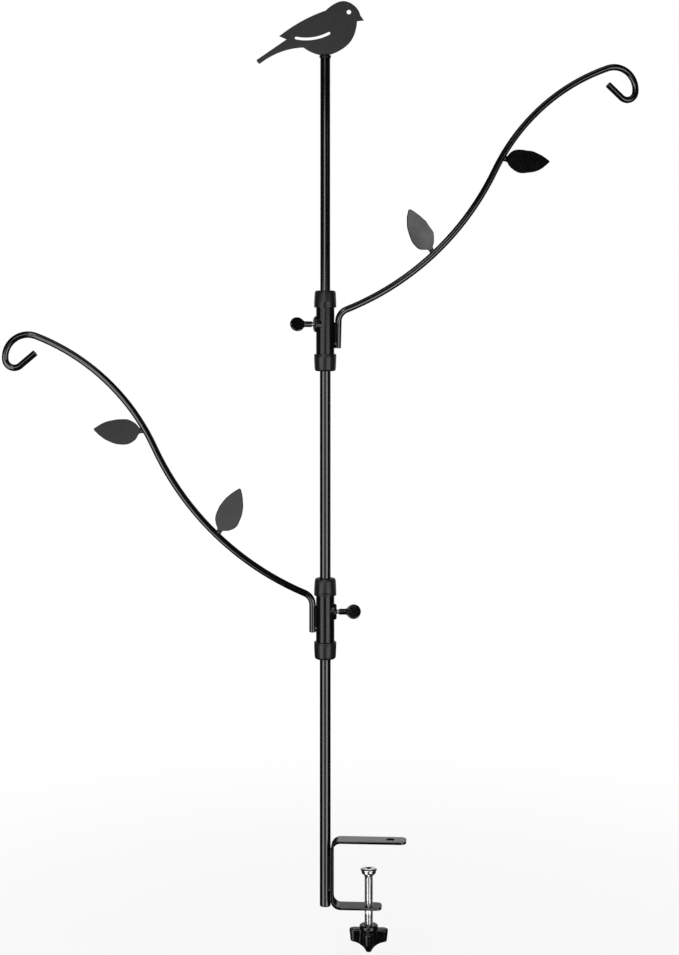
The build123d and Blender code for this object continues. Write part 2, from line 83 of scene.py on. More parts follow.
# Meshes: distance at which corners merge, and turns that count as flat or as an edge to round
MERGE = 2e-6
FLAT_TURN = math.radians(0.6)
EDGE_TURN = math.radians(40)
EDGE_SEGMENTS = 3

# Shading: turn in degrees past which a piece shows a crease
CREASE = 35.0
EDGED_CREASE = 70.0
BEAD_CREASE = 80.0
PADDLE_CREASE = 40.0

# Plates: waves per metre of a leaf's cut, edges too short to round, and room left round a weld
CUT_WAVES = 110.0
SHORT_EDGE = 0.3 * MM
SEAM_ROOM = 1.5 * MM

# Weld beads: radius for each joint, corners round a bead and rings of them in a ripple
BRACKET_BEAD = 2.0 * MM
BIRD_BEAD = 1.7 * MM
ARM_BEAD = 2.9 * MM
LEAF_BEAD = 2.2 * MM
BEAD_SIDES = 18
BEAD_RINGS = 6

# Weld beads: shares of the radius in the body, ripples, end dabs, wander and tips, and their spacing
BEAD_BODY = 0.66
BEAD_DOME = 0.10
BEAD_DAB = 0.34
BEAD_LEAN = 0.16
BEAD_TIP = 0.02
BEAD_TAPER = 6
DAB_WIDTH = 1.6
DAB_REACH = 2.0
LEAN_WAVES = 4
LEAN_SPREAD = 60

# Threads: ridge as (depth share, pitch share), steps in a turn, turns cut off, and the lead at each end
RIDGE = ((0.0, 0.0), (0.0, 0.12), (1.0, 0.43), (1.0, 0.57), (0.0, 0.88), (0.0, 1.0))
THREAD_STEPS = 32
SPARE_TURNS = 2
FIRST_TURN = 1.5
THREAD_LEAD = 0.05 * MM

# Clamp screw: thread depth and ball end, which starts at an angle below its equator
SCREW_DEPTH = 0.92 * MM
BALL = 3.5 * MM
BALL_NECK = 2.3 * MM
BALL_SINK = 0.1 * MM
BALL_START = -49
BALL_STEPS = 12

# Swivel pad in mm: face and cup as (radius, depth below the face), edge as (inset from the rim, depth)
PAD_FACE = ((0.0, 0.80), (1.3, 0.70), (2.4, 0.38), (3.1, 0.08), (3.6, 0.0), (9.0, 0.0))
PAD_EDGE = ((0.3, 0.12), (0.05, 0.45), (0.0, 0.95), (0.06, 1.45), (0.4, 1.85))
PAD_CUP = ((8.5, 1.95), (8.25, 2.15), (8.55, 2.5), (8.6, 4.6), (8.4, 5.2), (7.9, 5.8))
PAD_CUP += ((7.1, 6.5), (6.1, 7.2))

# Swivel pad in mm: foot and bore as (radius, height above the foot), and the socket for the ball
PAD_FOOT = ((5.6, 0.6), (5.5, 0.2), (5.3, 0.0), (3.2, 0.0), (3.0, 0.2))
PAD_BORE = 3.0
SOCKET_DEPTH = 5.3
SOCKET_MOUTH = 2.0
SOCKET = 3.6
SOCKET_START = -33.6
SOCKET_STEPS = 8
PAD_STEPS = 64

# Knob: voxels across the rounding of an edge, and the passes that soften it
KNOB_VOXELS = 2
KNOB_PASSES = 8
KNOB_PULL = 0.5

# Collar caps in mm: mouth as (radius, height), wall as (inset, height), eye as (radius, depth)
CAP_MOUTH = ((11.1, 0.15), (11.3, 0.0))
CAP_WALL = ((0.5, 0.0), (0.15, 0.15), (0.0, 0.5), (0.0, 2.2), (0.22, 2.45), (0.22, 2.85), (0.05, 3.1))
CAP_WALL += ((0.12, 7.0), (0.3, 11.5), (0.52, 15.0))
CAP_EYE = ((7.6, 0.08), (6.95, 0.3), (6.62, 0.8), (6.62, 3.9), (11.1, 4.0))
CAP_SHOULDER = 3.0
SHOULDER_INSET = 3.7
SHOULDER_START = 6
SHOULDER_STEPS = 6
CAP_STEPS = 72

# Collar caps: radius past which the wall is uneven, its waves per metre, where they start, mean sink
CAP_SKIN = 11.8 * MM
CAP_WAVES = 95
CAP_START = 7
CAP_SINK = 0.6

# Thumb screws: thread and root radius, where the thread and the paddle start, and their lap
THUMB_RADIUS = 3.0 * MM
THUMB_ROOT = 2.4 * MM
THUMB_THREAD_START = 6.7 * MM
THUMB_PADDLE_START = 16.7 * MM
THUMB_LAP = 0.6 * MM

# Photograph: the camera stands level, a little to the right of the pole
CAMERA_PLACE = (0.0843, -1.9513, 0.625)
CAMERA_TURN = 3.5
FOCAL_PIXELS = 1630
FRAME_HEIGHT = 955
HORIZON_ROW = 320
SENSOR = 36

# Nodes of the frame that keep their own mesh, by coat
GLOSS_STEEL = ["lower_pole", "middle_pole", "top_pole"]
GLOSS_STEEL += [f"{side}_arm_rod" for side in SIDES]
SATIN_STEEL = [f"{side}_{piece}" for side in SIDES for piece in ("sleeve", "screw_boss")]


class PoleSizes(bpy.types.PropertyGroup):
    """Sizes of what is modelled on the pole"""

    bird_round: bpy.props.FloatProperty(
        name="Bird edge", description="Rounding of the bird's edges under the coat",
        default=0.4 * MM, unit="LENGTH")
    leaf_round: bpy.props.FloatProperty(
        name="Leaf edge", description="Rounding of the leaves' edges under the coat",
        default=0.8 * MM, unit="LENGTH")
    leaf_stray: bpy.props.FloatProperty(
        name="Leaf cut", description="How far a leaf's punched outline strays from its line",
        default=0.9 * MM, unit="LENGTH")
    bar_round: bpy.props.FloatProperty(
        name="Bar edge", description="Rounding of the clamp bracket's rolled edges",
        default=0.4 * MM, unit="LENGTH")
    # Holes up to this width also take the dull coat, which paints the shade inside them
    bore_reach: bpy.props.FloatProperty(
        name="Bore reach", description="Widest hole in the bracket that is left sharp and dull",
        default=12.0 * MM, unit="LENGTH")
    plug_round: bpy.props.FloatProperty(
        name="Plug edge", description="Rounding of the plugs' edges",
        default=0.6 * MM, unit="LENGTH")
    knob_round: bpy.props.FloatProperty(
        name="Knob edge", description="Rounding of the knob's sharp edges",
        default=0.9 * MM, unit="LENGTH")
    screw_pitch: bpy.props.FloatProperty(
        name="Clamp screw pitch", description="Rise of the clamp screw's thread in one turn",
        default=1.5 * MM, unit="LENGTH")
    thumb_pitch: bpy.props.FloatProperty(
        name="Thumb screw pitch", description="Rise of a thumb screw's thread in one turn",
        default=1.0 * MM, unit="LENGTH")
    ripple: bpy.props.FloatProperty(
        name="Weld ripple", description="Distance from one ripple of a weld bead to the next",
        default=1.9 * MM, unit="LENGTH")
    cap_sag: bpy.props.FloatProperty(
        name="Cap unevenness", description="How far a soft cap's wall strays from round",
        default=0.14 * MM, unit="LENGTH")


class PoleColours(bpy.types.PropertyGroup):
    """Colours of the coats and bare materials"""

    coat: bpy.props.FloatVectorProperty(
        name="Powder coat", description="Black powder coat on the steel",
        default=(0.0030, 0.0030, 0.0031), subtype="COLOR", min=0, max=1)
    coat_edge: bpy.props.FloatVectorProperty(
        name="Powder coat edge", description="Powder coat where it is thin along a cut edge",
        default=(0.007, 0.007, 0.007), subtype="COLOR", min=0, max=1)
    vinyl: bpy.props.FloatVectorProperty(
        name="Cap vinyl", description="Matt black caps on the collars",
        default=(0.010, 0.010, 0.010), subtype="COLOR", min=0, max=1)
    plastic: bpy.props.FloatVectorProperty(
        name="Knob plastic", description="Moulded black plastic of the hand knob and the foot plug",
        default=(0.0030, 0.0028, 0.0026), subtype="COLOR", min=0, max=1)
    zinc: bpy.props.FloatVectorProperty(
        name="Zinc", description="Bright zinc plate on the clamp screw, pad and threads",
        default=(0.80, 0.80, 0.81), subtype="COLOR", min=0, max=1)
    brass: bpy.props.FloatVectorProperty(
        name="Brass", description="Turned insert in the knob",
        default=(0.72, 0.55, 0.25), subtype="COLOR", min=0, max=1)
    dust: bpy.props.FloatVectorProperty(
        name="Dust", description="Dust that settles on upward faces",
        default=(0.30, 0.29, 0.27), subtype="COLOR", min=0, max=1)
    floor: bpy.props.FloatVectorProperty(
        name="Floor", description="Pale floor under the object",
        default=(0.88, 0.88, 0.88), subtype="COLOR", min=0, max=1)


# Node trees

def add_node(tree, kind, inputs=None, **settings):
    """Add a node, set its options, and fill each named input with a value or a link."""
    made = tree.nodes.new(kind)
    for key, value in settings.items():
        setattr(made, key, value)
    for key, value in (inputs or {}).items():
        if isinstance(value, bpy.types.NodeSocket):
            tree.links.new(value, made.inputs[key])
        else:
            made.inputs[key].default_value = value
    return made


def new_group(name, inputs, outputs):
    """Start a shader node group with named sockets."""
    tree = bpy.data.node_groups.new(name, "ShaderNodeTree")
    for label, kind in inputs:
        tree.interface.new_socket(label, in_out="INPUT", socket_type=f"NodeSocket{kind}")
    for label, kind in outputs:
        tree.interface.new_socket(label, in_out="OUTPUT", socket_type=f"NodeSocket{kind}")
    return tree, tree.nodes.new("NodeGroupInput").outputs, tree.nodes.new("NodeGroupOutput").inputs


def surface_grain():
    """Fine pebbling of a coat or moulding, with a roughness that drifts slowly over the piece."""
    name = "Surface grain"
    if name in bpy.data.node_groups:
        return bpy.data.node_groups[name]
    sockets = [("Scale", "Float"), ("Smoothest", "Float"), ("Roughest", "Float")]
    tree, given, made = new_group(name, sockets, [("Height", "Float"), ("Roughness", "Float")])
    place = add_node(tree, "ShaderNodeTexCoord").outputs["Object"]
    pebbles = add_node(tree, "ShaderNodeTexNoise", {
        "Vector": place, "Scale": given["Scale"], "Detail": 3.0})
    drift = add_node(tree, "ShaderNodeTexNoise", {"Vector": place, "Scale": 38.0, "Detail": 4.0})
    rough = add_node(tree, "ShaderNodeMapRange", {
        "Value": drift.outputs["Fac"], "From Min": 0.3, "From Max": 0.7,
        "To Min": given["Smoothest"], "To Max": given["Roughest"]})
    tree.links.new(pebbles.outputs["Fac"], made["Height"])
    tree.links.new(rough.outputs["Result"], made["Roughness"])
    return tree


def edge_wear():
    """Lighter coat in broken patches along the edges that a piece marks in its rim attribute."""
    name = "Edge wear"
    if name in bpy.data.node_groups:
        return bpy.data.node_groups[name]
    sockets = [("Coat", "Color"), ("Bare", "Color"), ("Amount", "Float")]
    tree, given, made = new_group(name, sockets, [("Color", "Color")])
    rim = add_node(tree, "ShaderNodeAttribute", attribute_name="rim").outputs["Fac"]
    place = add_node(tree, "ShaderNodeTexCoord").outputs["Object"]
    patches = add_node(tree, "ShaderNodeTexNoise", {"Vector": place, "Scale": 240.0, "Detail": 5.0})
    broken = add_node(tree, "ShaderNodeMapRange", {
        "Value": patches.outputs["Fac"], "From Min": 0.42, "From Max": 0.62})
    on_rim = add_node(tree, "ShaderNodeMath", {0: rim, 1: broken.outputs["Result"]},
                      operation="MULTIPLY")
    share = add_node(tree, "ShaderNodeMath", {0: on_rim.outputs[0], 1: given["Amount"]},
                     operation="MULTIPLY")
    mixed = add_node(tree, "ShaderNodeMix", {0: share.outputs[0], 6: given["Coat"], 7: given["Bare"]},
                     data_type="RGBA")
    tree.links.new(mixed.outputs[2], made["Color"])
    return tree


def settled_dust():
    """Thin uneven dust on faces that look up."""
    name = "Settled dust"
    if name in bpy.data.node_groups:
        return bpy.data.node_groups[name]
    sockets = [("Coat", "Color"), ("Dust", "Color"), ("Amount", "Float")]
    tree, given, made = new_group(name, sockets, [("Color", "Color")])
    normal = add_node(tree, "ShaderNodeNewGeometry").outputs["Normal"]
    height = add_node(tree, "ShaderNodeSeparateXYZ", {"Vector": normal}).outputs["Z"]
    upward = add_node(tree, "ShaderNodeMapRange", {"Value": height, "From Min": 0.2, "From Max": 1.0})
    place = add_node(tree, "ShaderNodeTexCoord").outputs["Object"]
    specks = add_node(tree, "ShaderNodeTexNoise", {"Vector": place, "Scale": 420.0, "Detail": 6.0})
    uneven = add_node(tree, "ShaderNodeMath", {0: upward.outputs["Result"], 1: specks.outputs["Fac"]},
                      operation="MULTIPLY")
    share = add_node(tree, "ShaderNodeMath", {0: uneven.outputs[0], 1: given["Amount"]},
                     operation="MULTIPLY")
    mixed = add_node(tree, "ShaderNodeMix", {0: share.outputs[0], 6: given["Coat"], 7: given["Dust"]},
                     data_type="RGBA")
    tree.links.new(mixed.outputs[2], made["Color"])
    return tree


def turning_marks():
    """Fine rings round the vertical axis, as a lathe or die leaves them."""
    name = "Turning marks"
    if name in bpy.data.node_groups:
        return bpy.data.node_groups[name]
    sockets = [("Scale", "Float"), ("Smoothest", "Float"), ("Roughest", "Float")]
    tree, given, made = new_group(name, sockets, [("Height", "Float"), ("Roughness", "Float")])
    place = add_node(tree, "ShaderNodeTexCoord").outputs["Object"]
    flat = add_node(tree, "ShaderNodeMapping", {"Vector": place, "Scale": (0.06, 0.06, 1.0)})
    rings = add_node(tree, "ShaderNodeTexNoise", {
        "Vector": flat.outputs["Vector"], "Scale": given["Scale"], "Detail": 4.0})
    rough = add_node(tree, "ShaderNodeMapRange", {
        "Value": rings.outputs["Fac"], "From Min": 0.3, "From Max": 0.7,
        "To Min": given["Smoothest"], "To Max": given["Roughest"]})
    tree.links.new(rings.outputs["Fac"], made["Height"])
    tree.links.new(rough.outputs["Result"], made["Roughness"])
    return tree


def use_group(tree, group, values):
    """Place a node group in a material with its own values."""
    return add_node(tree, "ShaderNodeGroup", values, node_tree=group).outputs


def opaque(colour):
    """Colour with full alpha."""
    return (*colour, 1.0)


def start_material(name):
    """Start a material: itself, its node tree and its shader."""
    material = bpy.data.materials.new(name)
    material.use_nodes = True
    tree = material.node_tree
    return material, tree, tree.nodes["Principled BSDF"]


def coat_material(name, colour, edge, dust, grain, rough, bump, dust_amount, gloss=0.5):
    """Coated or moulded surface: grain, drifting gloss, thin edges and a little dust."""
    if name in bpy.data.materials:
        return bpy.data.materials[name]
    material, tree, shader = start_material(name)
    texture = use_group(tree, surface_grain(), {
        "Scale": grain, "Smoothest": rough[0], "Roughest": rough[1]})
    worn = use_group(tree, edge_wear(), {
        "Coat": opaque(colour), "Bare": opaque(edge), "Amount": 0.7})
    dusty = use_group(tree, settled_dust(), {
        "Coat": worn["Color"], "Dust": opaque(dust), "Amount": dust_amount})
    relief = add_node(tree, "ShaderNodeBump", {
        "Height": texture["Height"], "Strength": bump, "Distance": 0.2 * MM})
    shader.inputs["Specular IOR Level"].default_value = gloss
    tree.links.new(dusty["Color"], shader.inputs["Base Color"])
    tree.links.new(texture["Roughness"], shader.inputs["Roughness"])
    tree.links.new(relief.outputs["Normal"], shader.inputs["Normal"])
    return material


def bare_metal(name, colour, dust, grain, rough, bump):
    """Bright turned metal with fine rings."""
    if name in bpy.data.materials:
        return bpy.data.materials[name]
    material, tree, shader = start_material(name)
    texture = use_group(tree, turning_marks(), {
        "Scale": grain, "Smoothest": rough[0], "Roughest": rough[1]})
    dusty = use_group(tree, settled_dust(), {
        "Coat": opaque(colour), "Dust": opaque(dust), "Amount": 0.05})
    relief = add_node(tree, "ShaderNodeBump", {
        "Height": texture["Height"], "Strength": bump, "Distance": 0.05 * MM})
    shader.inputs["Metallic"].default_value = 1.0
    tree.links.new(dusty["Color"], shader.inputs["Base Color"])
    tree.links.new(texture["Roughness"], shader.inputs["Roughness"])
    tree.links.new(relief.outputs["Normal"], shader.inputs["Normal"])
    return material


def powder_coat(colours):
    """Gloss black coat of the poles, rods, bracket, weld beads and paddles."""
    return coat_material("Black powder coat", colours.coat, colours.coat_edge, colours.dust,
                         grain=850.0, rough=(0.09, 0.14), bump=0.018, dust_amount=0.003, gloss=1.0)


def satin_coat(colours):
    """Satin black coat of the bird, leaves, sleeves and bosses."""
    return coat_material("Satin plate coat", colours.coat, colours.coat_edge, colours.dust,
                         grain=850.0, rough=(0.20, 0.28), bump=0.022, dust_amount=0.004)


def thin_coat_and_painted_shade(colours):
    """Thin dull coat in the bracket's holes and along the middle of a weld bead; its low gloss also
    paints the shade that falls in these recesses.
    """
    return coat_material("Thin coat in a recess", colours.coat, colours.coat_edge, colours.dust,
                         grain=850.0, rough=(0.5, 0.6), bump=0.1, dust_amount=0.003, gloss=0.15)


def cap_vinyl(colours):
    """Matt vinyl of the collar caps."""
    return coat_material("Cap vinyl", colours.vinyl, colours.vinyl, colours.dust,
                         grain=1500.0, rough=(0.28, 0.38), bump=0.16, dust_amount=0.012)


def knob_plastic(colours):
    """Moulded plastic of the hand knob and the foot plug."""
    return coat_material("Knob plastic", colours.plastic, colours.coat_edge, colours.dust,
                         grain=2200.0, rough=(0.17, 0.27), bump=0.14, dust_amount=0.006, gloss=0.7)


def bright_zinc(colours):
    """Zinc plate of the clamp screw, the pad and the thumb screws' threads."""
    return bare_metal("Bright zinc", colours.zinc, colours.dust,
                      grain=2600.0, rough=(0.12, 0.24), bump=0.25)


def turned_brass(colours):
    """Brass of the knob's insert."""
    return bare_metal("Turned brass", colours.brass, colours.dust,
                      grain=2200.0, rough=(0.2, 0.32), bump=0.3)


# Pieces

def finish_piece(bm, name, material, body, replaced=(), crease=CREASE):
    """Turn a finished bmesh into a piece that rides on a body of the frame."""
    mesh = bpy.data.meshes.new(name)
    bm.to_mesh(mesh)
    bm.free()
    mesh.polygons.foreach_set("use_smooth", [True] * len(mesh.polygons))
    mesh.set_sharp_from_angle(angle=math.radians(crease))
    mesh.materials.append(material)
    piece = bpy.data.objects.new(name, mesh)
    bpy.context.scene.collection.objects.link(piece)
    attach(piece, body)
    if replaced:
        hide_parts(*replaced)
    return piece


def finish_edged(bm, name, material, body, replaced):
    """Finish a piece with flat faces and rounded edges, shaded evenly across both."""
    piece = finish_piece(bm, name, material, body, replaced, EDGED_CREASE)
    piece.modifiers.new("Even shading", "WEIGHTED_NORMAL").keep_sharp = True
    return piece


def copy_of_node(name):
    """Mesh of a frame node, merged to closed skins."""
    bm = bmesh.new()
    bm.from_mesh(frame["nodes"][name].data)
    bmesh.ops.remove_doubles(bm, verts=bm.verts, dist=MERGE)
    return bm


def whole_faces(bm):
    """Join the triangles of each flat face."""
    bmesh.ops.dissolve_limit(bm, angle_limit=FLAT_TURN, verts=bm.verts, edges=bm.edges)


def is_sharp(edge):
    """Whether an edge turns enough to be rounded."""
    return edge.is_manifold and edge.calc_face_angle() > EDGE_TURN


def bevel_edges(bm, edges, radius, clamped):
    """Round edges and mark the new faces as rim."""
    made = bmesh.ops.bevel(bm, geom=edges, offset=radius, offset_type="OFFSET",
                           segments=EDGE_SEGMENTS, profile=0.5, affect="EDGES",
                           clamp_overlap=clamped, material=-1)
    rim = bm.verts.layers.float.new("rim")
    for face in made["faces"]:
        for corner in face.verts:
            corner[rim] = 1.0


def round_edges(bm, radius, kept=()):
    """Round the sharp edges, except round kept faces."""
    sharp = [edge for edge in bm.edges if is_sharp(edge)
             and not any(face in kept for face in edge.link_faces)]
    bevel_edges(bm, sharp, radius, True)


def in_seam(place, seams):
    """Whether a place lies in or close to the box of a weld seam."""
    return any(all(low[side] - SEAM_ROOM < place[side] < high[side] + SEAM_ROOM for side in range(3))
               for low, high in seams)


def round_outline(bm, radius, seams=()):
    """Round a plate's outline on both its faces, but not under its weld seams."""
    faces = sorted(bm.faces, key=lambda face: face.calc_area())[-2:]
    outline = [edge for face in faces for edge in face.edges if is_sharp(edge)
               and not any(in_seam(corner.co, seams) for corner in edge.verts)]
    bevel_edges(bm, outline, radius, False)


def stray_outline(bm, amount):
    """Let a punched plate's outline stray from its line, alike on both faces."""
    widest = max(bm.faces, key=lambda face: face.calc_area())
    normal = widest.normal.copy()
    middle = widest.calc_center_median()
    for corner in bm.verts:
        flat = corner.co - middle
        flat -= normal * flat.dot(normal)
        corner.co += flat.normalized() * amount * noise.noise((middle + flat) * CUT_WAVES)


def arc_to_top(out, height, radius, start, steps):
    """Outline points on an arc about (out, height), from an angle in degrees to its top."""
    angles = [math.radians(start + step * (90 - start) / steps) for step in range(steps + 1)]
    return [(out + radius * math.cos(angle), height + radius * math.sin(angle)) for angle in angles]


def spin_outline(bm, outline, steps, closed=True):
    """Turn an outline of (radius, height) points about Z into a skin."""
    corners = [bm.verts.new((radius, 0, height)) for radius, height in outline]
    pairs = list(zip(corners, corners[1:]))
    if closed:
        pairs.append((corners[-1], corners[0]))
    lines = [bm.edges.new(pair) for pair in pairs]
    bmesh.ops.spin(bm, geom=corners + lines, cent=(0, 0, 0), axis=(0, 0, 1), dvec=(0, 0, 0),
                   angle=2 * math.pi, steps=steps, use_merge=True)
    bmesh.ops.remove_doubles(bm, verts=bm.verts, dist=MERGE)
    bmesh.ops.recalc_face_normals(bm, faces=bm.faces)


def spin_thread(bm, radius, root, pitch, foot, top):
    """Cut a screw thread between two heights, with chamfered ends and flat end faces."""
    turns = math.ceil((top - foot) / pitch) + SPARE_TURNS
    start = foot - FIRST_TURN * pitch
    ridge = [(root + share * (radius - root), start + up * pitch) for share, up in RIDGE]
    corners = [bm.verts.new((out, 0, height)) for out, height in ridge]
    lines = [bm.edges.new(pair) for pair in zip(corners, corners[1:])]
    bmesh.ops.spin(bm, geom=corners + lines, cent=(0, 0, 0), axis=(0, 0, 1),
                   dvec=(0, 0, pitch / THREAD_STEPS), angle=2 * math.pi * turns,
                   steps=THREAD_STEPS * turns)
    bmesh.ops.remove_doubles(bm, verts=bm.verts, dist=MERGE)
    for height, way in ((top, 1), (foot, -1)):
        bmesh.ops.bisect_plane(bm, geom=bm.verts[:] + bm.edges[:] + bm.faces[:], dist=MERGE,
                               plane_co=(0, 0, height), plane_no=(0, 0, way), clear_outer=True)
    for corner in bm.verts:
        inward = min(top - corner.co.z, corner.co.z - foot)
        flat = Vector((corner.co.x, corner.co.y))
        allowed = root - THREAD_LEAD + inward
        if flat.length > allowed:
            flat *= allowed / flat.length
            corner.co.x, corner.co.y = flat
    open_edges = [edge for edge in bm.edges if edge.is_boundary]
    bmesh.ops.edgeloop_fill(bm, edges=open_edges)
    bmesh.ops.recalc_face_normals(bm, faces=bm.faces)


def along(direction):
    """Turn that lays the Z axis along a direction."""
    return Vector(direction).to_track_quat("Z", "Y").to_matrix().to_4x4()


def loose_islands(name):
    """Lowest and highest corner of each separate solid in a frame node."""
    bm = copy_of_node(name)
    waiting = dict.fromkeys(bm.verts)
    islands = []
    while waiting:
        reached = [waiting.popitem()[0]]
        for corner in reached:
            for edge in corner.link_edges:
                other = edge.other_vert(corner)
                if other in waiting:
                    del waiting[other]
                    reached.append(other)
        spread = list(zip(*(corner.co for corner in reached)))
        islands.append((Vector(map(min, spread)), Vector(map(max, spread))))
    bm.free()
    return islands


def weld_bead(bm, low, high, radius, ripple):
    """Rippled bead along a box's longest side, with a glossy dab at each end and a dull coat between,
    painted shade along the seam.
    """
    span = high - low
    axis = max(range(3), key=lambda side: span[side])
    direction = Vector((0, 0, 0))
    direction[axis] = 1.0
    length = span[axis]
    ripples = max(2, round(length / ripple))
    rings = ripples * BEAD_RINGS
    loop = bmesh.ops.create_circle(bm, segments=BEAD_SIDES, radius=radius)["verts"]
    edges = list(dict.fromkeys(edge for corner in loop for edge in corner.link_edges))
    pile = [loop]
    for ring in range(rings):
        made = bmesh.ops.extrude_edge_only(bm, edges=edges)["geom"]
        edges = [item for item in made if isinstance(item, bmesh.types.BMEdge)]
        pile.append([item for item in made if isinstance(item, bmesh.types.BMVert)])
        from_end = min(ring, rings - 1 - ring) / rings * length
        # Rings away from the end dabs take the dull coat: painted shade along the middle of the seam
        if from_end > DAB_REACH * radius:
            for face in (item for item in made if isinstance(item, bmesh.types.BMFace)):
                face.material_index = 1
    for ring, loop in enumerate(pile):
        share = ring / rings
        up = share * length
        full = math.sqrt(1 - abs(2 * share - 1) ** BEAD_TAPER)
        dome = abs(math.sin(math.pi * ripples * share))
        dab = math.exp(-((min(up, length - up) / radius - 1.0) * DAB_WIDTH) ** 2)
        size = max(BEAD_TIP, full * (BEAD_BODY + BEAD_DOME * dome + BEAD_DAB * dab))
        drift = noise.noise((share * LEAN_WAVES, LEAN_SPREAD * low.x, LEAN_SPREAD * low.y))
        lean = BEAD_LEAN * radius * drift
        for corner in loop:
            flat = Vector((corner.co.x, corner.co.y)).normalized() * radius * size
            corner.co = (flat.x + lean, flat.y, up - length / 2)
    place = Matrix.Translation((low + high) / 2) @ along(direction)
    bmesh.ops.transform(bm, matrix=place, verts=[corner for loop in pile for corner in loop])
    for loop in (pile[0], pile[-1]):
        middle = sum((corner.co for corner in loop), Vector()) / len(loop)
        bmesh.ops.pointmerge(bm, verts=loop, merge_co=middle)


def coat_node(name, material):
    """Give a frame node's object its coat."""
    slots = frame["nodes"][name].data.materials
    slots.clear()
    slots.append(material)


class FEEDERPOLE_OT_coat_steel(bpy.types.Operator):
    """Coat the poles, rods, sleeves and bosses, and finish the knob's insert"""
    bl_idname = "feeder_pole.coat_steel"
    bl_label = "Coat the Steel"

    def execute(self, context):
        colours = context.scene.pole_colours
        for name in GLOSS_STEEL:
            coat_node(name, powder_coat(colours))
        for name in SATIN_STEEL:
            coat_node(name, satin_coat(colours))
        coat_node("knob_insert", turned_brass(colours))
        return {"FINISHED"}


class FEEDERPOLE_OT_bracket(bpy.types.Operator):
    """Round the clamp bracket's bar and leave its holes sharp, dulled as painted shade"""
    bl_idname = "feeder_pole.bracket"
    bl_label = "Round the Bracket"

    def execute(self, context):
        sizes = context.scene.pole_sizes
        colours = context.scene.pole_colours
        bm = copy_of_node("clamp_bracket")
        whole_faces(bm)
        skin = BVHTree.FromBMesh(bm)
        shaded_bores = set()
        for face in bm.faces:
            start = face.calc_center_median() + face.normal * MERGE
            # Faces that look back into the bar within reach, the bore walls, take the dull coat:
            # painted shade inside the holes
            if skin.ray_cast(start, face.normal, sizes.bore_reach)[0]:
                face.material_index = 1
                shaded_bores.add(face)
        round_edges(bm, sizes.bar_round, shaded_bores)
        made = finish_edged(bm, "rolled_bracket", powder_coat(colours), "pole",
                            ["clamp_bracket"])
        made.data.materials.append(thin_coat_and_painted_shade(colours))
        return {"FINISHED"}


class FEEDERPOLE_OT_bird(bpy.types.Operator):
    """Make the bird as a plate with rounded edges, and its plug"""
    bl_idname = "feeder_pole.bird"
    bl_label = "Make the Bird"

    def execute(self, context):
        sizes = context.scene.pole_sizes
        coat = satin_coat(context.scene.pole_colours)
        bm = copy_of_node("bird_finial")
        whole_faces(bm)
        bmesh.ops.remove_doubles(bm, verts=bm.verts, dist=SHORT_EDGE)
        whole_faces(bm)
        round_outline(bm, sizes.bird_round)
        finish_edged(bm, "bird_plate", coat, "pole", ["bird_finial"])
        bm = copy_of_node("finial_plug")
        whole_faces(bm)
        round_edges(bm, sizes.plug_round)
        finish_edged(bm, "bird_plug", coat, "pole", ["finial_plug"])
        return {"FINISHED"}


class FEEDERPOLE_OT_leaves(bpy.types.Operator):
    """Make the leaves as punched plates with a straying outline and rounded edges"""
    bl_idname = "feeder_pole.leaves"
    bl_label = "Make the Leaves"

    def execute(self, context):
        sizes = context.scene.pole_sizes
        coat = satin_coat(context.scene.pole_colours)
        for side in SIDES:
            seams = loose_islands(f"{side}_leaf_welds")
            for leaf in ("inner_leaf", "outer_leaf"):
                name = f"{side}_{leaf}"
                bm = copy_of_node(name)
                whole_faces(bm)
                stray_outline(bm, sizes.leaf_stray)
                round_outline(bm, sizes.leaf_round, seams)
                finish_edged(bm, f"{name}_plate", coat, f"{side}_arm", [name])
        return {"FINISHED"}


class FEEDERPOLE_OT_welds(bpy.types.Operator):
    """Lay rippled weld beads in the joints of the steel"""
    bl_idname = "feeder_pole.welds"
    bl_label = "Lay Weld Beads"

    def execute(self, context):
        ripple = context.scene.pole_sizes.ripple
        colours = context.scene.pole_colours
        coat = powder_coat(colours)
        seams = [("bracket_welds", "pole", BRACKET_BEAD), ("finial_welds", "pole", BIRD_BEAD)]
        for side in SIDES:
            seams.append((f"{side}_arm_welds", f"{side}_arm", ARM_BEAD))
            seams.append((f"{side}_leaf_welds", f"{side}_arm", LEAF_BEAD))
        for name, body, radius in seams:
            bm = bmesh.new()
            for low, high in loose_islands(name):
                weld_bead(bm, low, high, radius, ripple)
            bmesh.ops.recalc_face_normals(bm, faces=bm.faces)
            made = finish_piece(bm, name.replace("welds", "beads"), coat, body,
                                [name], BEAD_CREASE)
            # The dull second coat paints the shade along the middle of each seam
            made.data.materials.append(thin_coat_and_painted_shade(colours))
        return {"FINISHED"}


class FEEDERPOLE_OT_clamp_screw(bpy.types.Operator):
    """Cut the clamp screw's thread and turn its ball end"""
    bl_idname = "feeder_pole.clamp_screw"
    bl_label = "Cut the Clamp Screw"

    def execute(self, context):
        low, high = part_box("clamp_screw")
        radius = (high.x - low.x) / 2
        pitch = context.scene.pole_sizes.screw_pitch
        shoulder = high.z - 2 * BALL + BALL_SINK
        bm = bmesh.new()
        spin_thread(bm, radius, radius - SCREW_DEPTH, pitch, low.z, shoulder)
        end = bmesh.new()
        outline = [(0.0, shoulder - MM), (BALL_NECK, shoulder - MM)]
        outline += arc_to_top(0.0, high.z - BALL, BALL, BALL_START, BALL_STEPS)
        outline[-1] = (0.0, high.z)
        spin_outline(end, outline, THREAD_STEPS, closed=False)
        mesh = bpy.data.meshes.new("ball end")
        end.to_mesh(mesh)
        end.free()
        bm.from_mesh(mesh)
        bpy.data.meshes.remove(mesh)
        zinc = bright_zinc(context.scene.pole_colours)
        finish_piece(bm, "threaded_spindle", zinc, "clamp_spindle", ["clamp_screw"])
        return {"FINISHED"}


